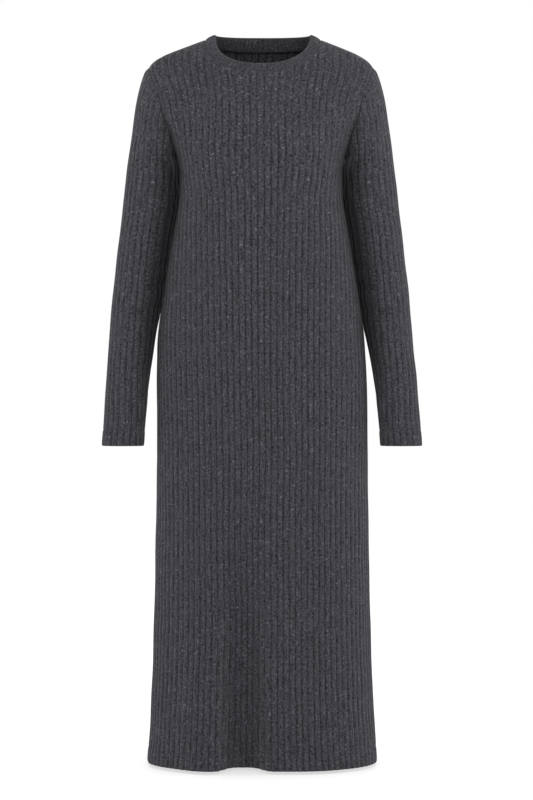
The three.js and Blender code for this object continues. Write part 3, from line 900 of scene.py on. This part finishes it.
# %% [markdown]
# ## Creases of the sleeves
# A sleeve breaks softly at the elbow and under the arm. The lines run as those of the body do, but x is
# the distance round from the outer line, with the front positive. On the right sleeve they begin a
# little higher, so that the two aren't mirror images.

# %% Sleeve creases
SLEEVE_CREASES = table(
    "x0 z0 x1 z1 width depth",
    [
        (150, -224, 84, -262, 7, 2.6),
        (148, -262, 96, -286, 6, 2.0),
        (-150, -226, -86, -258, 8, 2.6),
        (140, -392, 70, -368, 6, 2.6),
        (138, -418, 62, -410, 6, 3.2),
        (136, -446, 66, -458, 6, 2.6),
        (-130, -400, -76, -388, 7, 2.0),
        (-128, -434, -70, -440, 7, 2.2),
        (96, -560, 40, -548, 6, 1.8),
        (90, -604, 20, -622, 6, 1.8),
        (-96, -588, -40, -598, 7, 1.8),
        (30, -120, 44, -190, 9, 1.8),
        (-36, -118, -40, -186, 9, 1.8),
    ],
)
CREASE_SHIFT = 7
SLEEVE_FLATNESS = 0.9  # height of the sleeve's ribs beside those of the skirt
SLEEVE_PITCH = 9  # mm, roughly


def sleeve_relief(rib, z, top, share, inset, left, seed):
    """How far each point of a sleeve stands out of the form."""
    round_it = np.sign(rib) * sleeve_form(rib, z)[1]
    near_top = np.where(share > 0, smooth((top - z) / 7), 1)
    out = rib_relief(rib, left, RIB_HEIGHT * SLEEVE_FLATNESS, SEEDS["sleeve_ribs"] + seed) * near_top
    waves = unevenness(round_it, z, SEEDS["sleeve_waves"] + seed, 90, 1.0)
    out += waves * near_top * np.clip(left / 2, 0, 1)
    for crease in SLEEVE_CREASES:
        moved = dict(crease, z0=crease["z0"] + CREASE_SHIFT * seed)
        out -= moved["depth"] * along_line(round_it, z, moved) * near_top
    out -= inset + SEAM_TURN * np.exp(-((left * SLEEVE_PITCH / SEAM_REACH) ** 2))
    out -= np.where(share >= 1, SHOULDER_TURN, 0)
    return out


print("creases on a sleeve:", len(SLEEVE_CREASES))

# %% [markdown]
# ## Sleeves
# Both sleeves are made on the left side and rested on the body there. The right one is then turned over
# to its own side. Its cuff ends a little nearer the body, because that forearm hangs closer.

# %% Sleeves
SLEEVE_ROWS = rows_from(-SLEEVE_END, -225, 70, 24)
CAP_CROWDING = 1.7  # rows lie closer together towards the cap
CUFF_TUCK = 3.6


def sleeve(name, hand, seed):
    columns = rib_columns(SLEEVE_RIBS)
    level, inset, share = spread(SLEEVE_ROWS, columns)
    limit = np.where(share > 0, SLEEVE_RIBS, sleeve_ribs(level))
    rib = np.sign(columns)[None, :] * np.minimum(np.abs(columns)[None, :], limit)
    top = sleeve_top(rib)
    z = np.where(share > 0, level + (top - level) * (1 - (1 - share) ** CAP_CROWDING), level)
    left = limit - np.abs(rib)

    def point(r, h):
        return sleeve_point(r, h, top)

    normal = normals_of(point, rib, z, -1)
    on_seam = (left < 1e-6) & (z < -UNDERARM - 2)
    normal = np.where(on_seam[..., None], np.array([-1.0, 0, 0]), normal)
    out = sleeve_relief(rib, z, top, share, inset, left, seed)
    places = rest_on_body(point(rib, z) + normal * out[..., None], normal, hand)
    # painted shade on the sleeve's inner side, from the gap to the body
    painted_shade = painted_crease_shade(places)
    if hand > 0:
        return cloth(name, places[:, ::-1], rib[:, ::-1], z[:, ::-1], painted_shade=painted_shade[:, ::-1])
    places[..., 0] = CUFF_TUCK * below(z, 480, 160) - places[..., 0]
    return cloth(name, places, rib, z, painted_shade=painted_shade)


sleeve_left = sleeve("sleeve_left_cloth", 1, 0)
sleeve_right = sleeve("sleeve_right_cloth", -1, 1)

# %% [markdown]
# ## The band's section
# The band is a strip of the same rib, folded in half along its length and linked to the neck edge. Its
# section goes from the seam outside, up over the fold and down to the seam inside. The fold is rounded.
# A tube swept along the neck would be simpler, but it would stand equally high all round, and this band
# leans in and is lower over the shoulders.

# %% Band section
# Share of the way from the seam to the fold, and how far out of the form.
BAND_PROFILE = [
    (-0.04, -1.0),
    (0.00, -0.1),
    (0.07, 0.4),
    (0.30, 0.8),
    (0.55, 0.9),
    (0.80, 0.7),
    (0.92, 0.3),
    (0.98, -0.4),
    (1.00, -1.3),
    (0.97, -2.3),
    (0.86, -2.8),
    (0.60, -3.0),
    (0.30, -3.0),
    (0.05, -2.8),
    (-0.10, -2.5),
    (-0.17, -2.1),
    (-0.20, -1.6),
]
print("points of the band's section:", len(BAND_PROFILE))

# %% [markdown]
# ## The neck edge as a ring
# The band starts from the panels' own neck edge, front and back together, so that no gap can open between
# them. At each place round the neck the ring gives the seam and the way outwards. The fold is a flatter
# ring above it, which the band leans in to.

# %% Neck ring
BAND_RIBS = 78
BAND_STEPS = 4  # points round the neck for each rib
BAND_FOLD = dict(half=78.5, front=73, back=60, side=8.5, front_drop=49, back_rise=13.5)


def neck_seam(side, across):
    """The neck edge of one side at places across, and the way outwards there."""
    ribs = np.linspace(0.0, NECK_RIBS, 140)
    edge = body_point(side, ribs, body_top(side, ribs))
    at = np.interp(NECK_HALF * np.abs(across), edge[:, 0], ribs)
    seam = np.stack([np.interp(at, ribs, edge[:, k]) for k in range(3)], axis=-1)

    def point(r, h):
        return body_point(side, r, h)

    return seam, normals_of(point, np.maximum(at, 0.06), seam[:, 2] - 0.2, -side)


def neck_fold(side, across, round_it):
    """The upper edge of the band."""
    f = BAND_FOLD
    depth = side * np.where(side < 0, f["front"], f["back"]) * round_it
    rise = np.where(side < 0, -f["side"] - f["front_drop"], f["back_rise"] - f["side"])
    return np.stack([f["half"] * across, depth, f["side"] + rise * round_it], axis=-1)


print("the band's opening is", 2 * BAND_FOLD["half"], "mm wide")

# %% [markdown]
# ## Neckband
# The ribs run across the strip, so they stand up round the neck and pinch together a little at the fold.
# The net is built like that of the other pieces and goes through the same cloth maker, a little thinner.

# %% Neckband
BAND_KNIT = 1.3
BAND_RIB_HEIGHT = 0.8
BAND_INSIDE = 0.35  # share of the ribs' height on the band's inner side


def neckband():
    turns = np.arange(BAND_RIBS * BAND_STEPS + 1) / (BAND_RIBS * BAND_STEPS) * 2 * math.pi
    side = np.where(np.sin(turns) >= -1e-9, -1, 1)
    power = 2 / NECK_SQUARENESS
    across = np.sign(np.cos(turns)) * np.abs(np.cos(turns)) ** power
    round_it = np.abs(np.sin(turns)) ** power
    seam, normal = np.empty((len(turns), 3)), np.empty((len(turns), 3))
    for s in (-1, 1):
        seam[side == s], normal[side == s] = neck_seam(s, across[side == s])
    flip = np.where(across < 0, -1.0, 1.0)
    seam[:, 0] *= flip
    normal[:, 0] *= flip
    fold = neck_fold(side, across, round_it)
    ribs = np.arange(len(turns)) / BAND_STEPS
    off = np.abs(ribs - np.round(ribs)) * 2
    relief = BAND_RIB_HEIGHT * (1 - off**2)
    places, rows = [], []
    for share, out in BAND_PROFILE:
        pinch = math.sin(math.pi * min(max(share, 0), 1)) ** 0.5 if out > 0 else BAND_INSIDE
        lift = out + relief * pinch * (1 if out > 0 else -0.4)
        places.append(seam + (fold - seam) * share + normal * np.reshape(lift, (-1, 1)))
        rows.append(np.full(len(turns), 20 * share + out))
    places = np.array(places)
    places[..., 0] += sway(np.minimum(places[..., 2], 0))
    ribs = np.array([ribs] * len(places))
    return cloth("neckband_cloth", places[:, ::-1], ribs, np.array(rows), BAND_KNIT)


band = neckband()

# %% [markdown]
# ## Lines of the linked seams
# Inside every seam lies a soft ridge where the two edges are linked. It hardly shows, but it closes the
# line between two pieces, so no light comes through. Each line lies a few millimetres inside its seam,
# and follows the same form as the cloth, so it can't part from it.

# %% Seam lines
INSIDE = 3.2  # how far the shoulder and side ridges lie inside their seams
ARMHOLE_INSIDE = 4.8


def armhole_line(hand, side):
    def point(r, h):
        return body_point(side, r, h)

    z = np.linspace(-UNDERARM + 0.5, -SHOULDER_DROP - 3, 80)
    ribs = np.where(z > -ARM_MID, SHOULDER_RIBS, armhole_ribs(z))
    way = normals_of(point, ribs, z, -side)
    way[:, 1] += 1.6 * side * below(z, 110, 30)  # straight behind the crease, at the underarm
    line = armhole(side, z) - ARMHOLE_INSIDE * way / np.linalg.norm(way, axis=1, keepdims=True)
    line[:, 0] = hand * line[:, 0] + sway(z)
    return line


def shoulder_line(hand):
    across = np.linspace(NECK_RIBS + 0.1, SHOULDER_RIBS - 0.2, 50)
    top = body_top(-1, across)
    x = hand * across * SHOULDER_HALF / SHOULDER_RIBS + sway(top)
    return np.stack([x, 0 * top, top - INSIDE], axis=-1)


def side_line(hand):
    z = np.linspace(-UNDERARM - 3, -LENGTH + 30, 160)
    return np.stack([hand * (body_half(z) - INSIDE) + sway(z), 0 * z, z], axis=-1)


print("the side seam is linked from", -UNDERARM - 3, "to", -LENGTH + 30)

# %% [markdown]
# ## Linked seams
# A knitted ridge is round and soft, so a curve with a round bevel is the simplest way to make it. The
# radius of its points makes the ridges behind the armholes thicker than the others.

# %% Seam ridges
RIDGE = 2.2
ARMHOLE_RIDGE = 1.8  # times as thick


def ridge(curve, points, thick=1.0):
    spline = curve.splines.new("POLY")
    spline.points.add(len(points) - 1)
    for target, place in zip(spline.points, points):
        target.co = (*(place * MM), 1)
        target.radius = thick


def seams():
    curve = bpy.data.curves.new("linked_seams", "CURVE")
    curve.dimensions = "3D"
    curve.bevel_depth = RIDGE * MM
    curve.bevel_resolution = 2
    curve.use_fill_caps = True
    for hand in (-1, 1):
        for side in (-1, 1):
            ridge(curve, armhole_line(hand, side), ARMHOLE_RIDGE)
        ridge(curve, shoulder_line(hand))
        ridge(curve, side_line(hand))
    piece = bpy.data.objects.new("linked_seams", curve)
    bpy.context.scene.collection.objects.link(piece)
    return piece


seam_piece = seams()
print("ridges inside the seams:", len(seam_piece.data.splines))

# %% [markdown]
# ## Helpers for the yarn
# A material is a tree of nodes. Most of them here are sums and noises, so four small helpers make one and
# join it up in a single line. Painting an image would be quicker, but a node pattern stays sharp at any
# size and needs no file.


# %% Node helpers
def node(tree, kind, **values):
    made = tree.nodes.new(kind)
    for key, value in values.items():
        if key in made.inputs:
            made.inputs[key].default_value = value
        else:
            setattr(made, key, value)
    return made


def math_node(tree, operation, first, second=None):
    made = node(tree, "ShaderNodeMath", operation=operation)
    for socket, value in zip(made.inputs, (first, second)):
        if isinstance(value, (int, float)):
            socket.default_value = value
        elif value is not None:
            tree.links.new(value, socket)
    return made.outputs[0]


def noise(tree, place, **values):
    """A noise read at a place."""
    made = node(tree, "ShaderNodeTexNoise", **values)
    tree.links.new(place, made.inputs["Vector"])
    return made.outputs[0]


def remap(tree, value, before, after):
    """Brings one range of values to another, and stops at its ends."""
    made = node(tree, "ShaderNodeMapRange")
    for key, number in zip(("From Min", "From Max", "To Min", "To Max"), (*before, *after)):
        made.inputs[key].default_value = number
    tree.links.new(value, made.inputs[0])
    return made.outputs[0]


print("node helpers are ready")

# %% [markdown]
# ## Fibres
# The colour is charcoal with a touch of violet. A heather yarn is spun from dark and light fibres, so the
# cloth is flecked: short pale and dark streaks that follow the stitches, with a few pale hairs. The
# pattern reads the map of ribs and rows, so it bends with the cloth. A ramp turns the noises into yarn
# colours, which keeps the darkest and the palest fibre as they were chosen.

# %% Fibres
FLECK_STRETCH = (1.7, 1.35, 1)
STREAK_STRETCH = (2.7, 0.45, 1)
STREAK = 0.36  # how strong the long streaks are beside the flecks
TIP = 1.9  # how many times paler the palest hairs are


def stretched(tree, knit, scale):
    made = node(tree, "ShaderNodeMapping", Scale=scale)
    tree.links.new(knit, made.inputs[0])
    return made.outputs[0]


def fibres(tree, knit, dark, light):
    """The colour of the yarn at a place of the map."""
    fleck = noise(tree, stretched(tree, knit, FLECK_STRETCH), Scale=1.9, Detail=3.0, Roughness=0.55)
    streak = noise(tree, stretched(tree, knit, STREAK_STRETCH), Scale=1.0, Detail=1.0)
    streaked = math_node(tree, "MULTIPLY", math_node(tree, "SUBTRACT", streak, 0.5), STREAK)
    hair = noise(tree, knit, Scale=3.1, Detail=1.0, Distortion=1.5)
    pale = remap(tree, hair, (0.60, 0.76), (0.0, 0.5))
    flecked = math_node(tree, "ADD", fleck, pale)
    ramp = node(tree, "ShaderNodeValToRGB")
    first, last = ramp.color_ramp.elements
    first.position, first.color = 0.19, (*dark, 1)
    last.position, last.color = 0.81, (*light, 1)
    tip = ramp.color_ramp.elements.new(1.0)
    tip.color = (*[TIP * c for c in light], 1)
    tree.links.new(math_node(tree, "ADD", flecked, streaked), ramp.inputs[0])
    return ramp.outputs[0]


print("streaks are about", round(STREAK_STRETCH[0] / STREAK_STRETCH[1]), "times as long as wide")

# %% [markdown]
# ## Grooves, with painted shade
# The yarn lies deeper between the ribs, and less light comes back from there. A soft slope and a narrow
# crease of painted shade darken it, and the top of a rib gets a slight painted highlight. The grooves
# wander a little, and each is deeper in one place than in another. The chest is pulled wide, so its
# grooves are shallow. The real relief does part of this already, but a groove between loops is finer than
# any mesh.

# %% Grooves
SLOPE = 0.25
GROOVE = 0.29
# painted highlight: the top of a rib is lighter than the yarn's own colour
RIDGE_HIGHLIGHT = 1.06  # the top of a rib is this much lighter than the yarn


def painted_groove_shade(tree, across, down, knit):
    """Painted shade across a rib: how much light the colour keeps, from the place across it."""
    drift = noise(tree, knit, Scale=0.6, Detail=1.0)
    wander = math_node(tree, "MULTIPLY", math_node(tree, "SUBTRACT", drift, 0.5), 0.14)
    moved = math_node(tree, "ADD", across, wander)
    rib = math_node(tree, "ROUND", moved)
    away = math_node(tree, "ABSOLUTE", math_node(tree, "SUBTRACT", moved, rib))
    off = math_node(tree, "MULTIPLY", away, 2.0)
    slope = math_node(tree, "MULTIPLY", math_node(tree, "POWER", off, 2.6), SLOPE)
    crease = math_node(tree, "MULTIPLY", math_node(tree, "POWER", off, 9.0), GROOVE)
    own_place = node(tree, "ShaderNodeCombineXYZ")
    tree.links.new(math_node(tree, "MULTIPLY", rib, 3.7), own_place.inputs[0])
    tree.links.new(math_node(tree, "MULTIPLY", down, 0.13), own_place.inputs[1])
    own = noise(tree, own_place.outputs[0], Scale=1.0, Detail=1.0)
    depth = remap(tree, own, (0.3, 0.7), (0.6, 1.5))
    chest = remap(tree, down, (-24, -14), (1.0, 0.85))  # from 240 to 140 mm down
    deep = math_node(tree, "MULTIPLY", depth, chest)
    dark = math_node(tree, "MULTIPLY", deep, math_node(tree, "ADD", slope, crease))
    return math_node(tree, "SUBTRACT", RIDGE_HIGHLIGHT, dark)


print("a groove takes up to", round(SLOPE + GROOVE, 2), "of the light")

# %% [markdown]
# ## Loops
# Each wale is a column of small V shapes. There are far too many loops to model, so they are a bump, with
# finer hairs from a noise in the object's own coordinates. The bump is less than a millimetre high, and
# only the shading shows it.

# %% Loops
LOOP_SLANT = 1.4
BUMP = dict(Strength=0.55, Distance=0.0006)


def loops(tree, across, down, wales, stitch):
    """The bumped surface, with so many wales to a rib and stitches to a unit of the map."""
    wale = math_node(tree, "FRACT", math_node(tree, "MULTIPLY", across, wales))
    slant = math_node(tree, "ABSOLUTE", math_node(tree, "SUBTRACT", wale, 0.5))
    along = math_node(tree, "MULTIPLY", down, stitch)
    rise = math_node(tree, "ADD", along, math_node(tree, "MULTIPLY", slant, LOOP_SLANT))
    loop = math_node(tree, "SINE", math_node(tree, "MULTIPLY", rise, 2 * math.pi))
    valley = math_node(tree, "POWER", math_node(tree, "MULTIPLY", slant, 2.0), 3.0)
    fine = noise(tree, node(tree, "ShaderNodeTexCoord").outputs["Object"], Scale=900.0, Detail=2.0)
    height = math_node(tree, "SUBTRACT", math_node(tree, "MULTIPLY", loop, 0.5), valley)
    height = math_node(tree, "ADD", height, math_node(tree, "MULTIPLY", fine, 1.2))
    bump = node(tree, "ShaderNodeBump", **BUMP)
    tree.links.new(height, bump.inputs["Height"])
    return bump.outputs[0]


print("loops stand", BUMP["Distance"] * 1000, "mm high")

# %% [markdown]
# ## Heather yarn
# Wool is rough and hardly shines. Its brushed surface gives a soft pale edge at the sides, and sheen does
# just that. Between sleeve and body an attribute darkens the yarn's colour with painted shade, for the
# closed crease. The band is knitted finer, with two wales to its ribs.

# %% Yarn material
DARK, LIGHT = (0.0022, 0.0022, 0.003), (0.0755, 0.0735, 0.0845)
# how much of the yarn's colour the painted shade takes at the touch of sleeve and body
PAINTED_SHADE_DARK = 0.97
STITCHES = 2.8  # to one unit of the map, which is ten millimetres


def yarn(name, dark, light, wales, stitch):
    material = bpy.data.materials.new(name)
    material.use_nodes = True
    tree = material.node_tree
    shader = tree.nodes["Principled BSDF"]
    shader.inputs["Roughness"].default_value = 0.92
    shader.inputs["Specular IOR Level"].default_value = 0.04
    shader.inputs["Sheen Weight"].default_value = 0.14
    shader.inputs["Sheen Roughness"].default_value = 0.45
    shader.inputs["Sheen Tint"].default_value = (0.75, 0.74, 0.78, 1)
    knit = node(tree, "ShaderNodeUVMap", uv_map="knit").outputs[0]
    parts = node(tree, "ShaderNodeSeparateXYZ")
    tree.links.new(knit, parts.inputs[0])
    across, down = parts.outputs[0], parts.outputs[1]
    # painted shade between sleeve and body, read from the attribute and multiplied into the colour
    painted_shade = node(tree, "ShaderNodeAttribute", attribute_name="painted_shade").outputs["Fac"]
    daylight = math_node(tree, "SUBTRACT", 1.0, math_node(tree, "MULTIPLY", painted_shade, PAINTED_SHADE_DARK))
    shade = math_node(tree, "MULTIPLY", painted_groove_shade(tree, across, down, knit), daylight)
    tone = node(tree, "ShaderNodeVectorMath", operation="SCALE")
    tree.links.new(fibres(tree, knit, dark, light), tone.inputs[0])
    tree.links.new(shade, tone.inputs["Scale"])
    tree.links.new(tone.outputs[0], shader.inputs["Base Color"])
    tree.links.new(loops(tree, across, down, wales, stitch), shader.inputs["Normal"])
    return material


heather = yarn("heather rib knit", DARK, LIGHT, 3, STITCHES)
heather_band = yarn("heather band knit", DARK, LIGHT, 2, STITCHES)
for piece in (front, back, sleeve_left, sleeve_right):
    piece.data.materials.append(heather)
band.data.materials.append(heather_band)
print("yarns:", heather.name, "and", heather_band.name)

# %% [markdown]
# ## Linking yarn
# The seams are linked with a plain yarn of the same charcoal. It lies inside and hardly shows, so fine
# noise between two close greys is enough, in the object's own coordinates.


# %% Linking yarn
def linking_yarn(dark, light):
    material = bpy.data.materials.new("linking yarn")
    material.use_nodes = True
    tree = material.node_tree
    shader = tree.nodes["Principled BSDF"]
    shader.inputs["Roughness"].default_value = 0.95
    ramp = node(tree, "ShaderNodeValToRGB")
    ramp.color_ramp.elements[0].color = (*dark, 1)
    ramp.color_ramp.elements[1].color = (*light, 1)
    place = node(tree, "ShaderNodeTexCoord").outputs["Object"]
    tree.links.new(noise(tree, place, Scale=700.0, Detail=3.0), ramp.inputs[0])
    tree.links.new(ramp.outputs[0], shader.inputs["Base Color"])
    return material


linking = linking_yarn((0.020, 0.020, 0.024), (0.055, 0.054, 0.060))
seam_piece.data.materials.append(linking)
print("seams:", linking.name)

# %% [markdown]
# ## What stands for what
# Each shell takes the place of its solid, and all of them are one body. Every piece is a sheet of cloth,
# and the list gives the size that it was cut to: the width and length of its blank, and the area of the
# cut.
# Only the areas are read, for the printed total.

# %% Pieces and sheets
CUTS = [
    dict(piece=front, node="front", flat=(0.51, 1.23), area=0.545),
    dict(piece=back, node="back", flat=(0.51, 1.23), area=0.545),
    dict(piece=sleeve_left, node="sleeve_left", flat=(0.32, 0.66), area=0.165),
    dict(piece=sleeve_right, node="sleeve_right", flat=(0.32, 0.66), area=0.165),
]
for cut in CUTS:
    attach(cut["piece"], "root")
    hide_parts(cut["node"])
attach(band, "root")
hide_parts("neckband")
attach(seam_piece, "root")
print("cloth cut in all:", round(sum(cut["area"] for cut in CUTS) + 0.55 * 0.045, 3), "square metres")

# %% [markdown]
# ## Floor
# The dress floats a few millimetres over a plain pale floor that glows as white as the room behind it, so
# no edge shows between them. Where the hem is near, the floor is a little darker, which gives the soft
# shadow under the dress. A shadow from the lights alone would be lost in the glow.

# %% Floor
FLOOR_LEVEL = -1.2055
FLOOR_HALF = 6
SHADOW_REACH = 0.22


def pale_floor():
    material = bpy.data.materials.new("pale floor")
    material.use_nodes = True
    tree = material.node_tree
    shader = tree.nodes["Principled BSDF"]
    shader.inputs["Base Color"].default_value = (0.3, 0.3, 0.3, 1)
    shader.inputs["Emission Color"].default_value = (1, 1, 1, 1)
    shader.inputs["Roughness"].default_value = 1.0
    shader.inputs["Specular IOR Level"].default_value = 0.0
    nearby = node(tree, "ShaderNodeAmbientOcclusion", Distance=SHADOW_REACH)
    glow = remap(tree, nearby.outputs["AO"], (0.5, 1.0), (0.65, 0.88))
    tree.links.new(glow, shader.inputs["Emission Strength"])
    return material


bm = bmesh.new()
bmesh.ops.create_grid(bm, x_segments=1, y_segments=1, size=FLOOR_HALF)
floor_mesh = bpy.data.meshes.new("floor")
bm.to_mesh(floor_mesh)
bm.free()
floor = bpy.data.objects.new("floor", floor_mesh)
floor.location = (0, 0, FLOOR_LEVEL)
bpy.context.scene.collection.objects.link(floor)
floor.data.materials.append(pale_floor())
print("floor at", FLOOR_LEVEL, "m")

# %% [markdown]
# ## Lights
# The light is broad and soft: a large panel in front and above, another behind, and a weaker one on each
# side that gives the brushed cloth its pale edges. One lamp would be simpler, but its hard shadows would
# show every rib too deep. Each panel is turned to face the middle of the dress.


# %% Lights
def panel(name, place, size, power, aim=(0, 0, -0.5)):
    light = bpy.data.lights.new(name, "AREA")
    light.shape = "SQUARE"
    light.size = size
    light.energy = power
    made = bpy.data.objects.new(name, light)
    made.location = place
    way = [a - p for a, p in zip(aim, place)]
    flat = math.hypot(way[0], way[1])
    made.rotation_euler = (math.atan2(flat, -way[2]), 0, math.atan2(way[1], way[0]) - math.pi / 2)
    bpy.context.scene.collection.objects.link(made)
    return made


lamps = [
    panel("front panel", (0.2, -2.9, 2.1), 1.6, 76),
    panel("back panel", (0, 3.0, 2.1), 2.0, 68),
    panel("left panel", (-3.0, -0.8, 0.3), 1.8, 30),
    panel("right panel", (3.0, -0.8, 0.3), 1.8, 40),
]
print("panels:", len(lamps), "with", sum(lamp.data.energy for lamp in lamps), "W in all")

# %% [markdown]
# ## White room
# The walls glow white and wrap light round the sides of the dress. The ceiling is darker, so that the
# panels alone model the folds. The sky's own direction upwards says which part is ceiling.

# %% Room
world = bpy.data.worlds.new("white room")
world.use_nodes = True
sky = world.node_tree
upwards = node(sky, "ShaderNodeSeparateXYZ")
sky.links.new(node(sky, "ShaderNodeTexCoord").outputs["Generated"], upwards.inputs[0])
ceiling = remap(sky, upwards.outputs["Z"], (0.25, 0.6), (1.0, 0.2))
sky.links.new(ceiling, sky.nodes["Background"].inputs["Strength"])
sky.nodes["Background"].inputs["Color"].default_value = (1, 1, 1, 1)
bpy.context.scene.world = world
bpy.context.scene.view_settings.view_transform = "Standard"
print("room:", world.name)
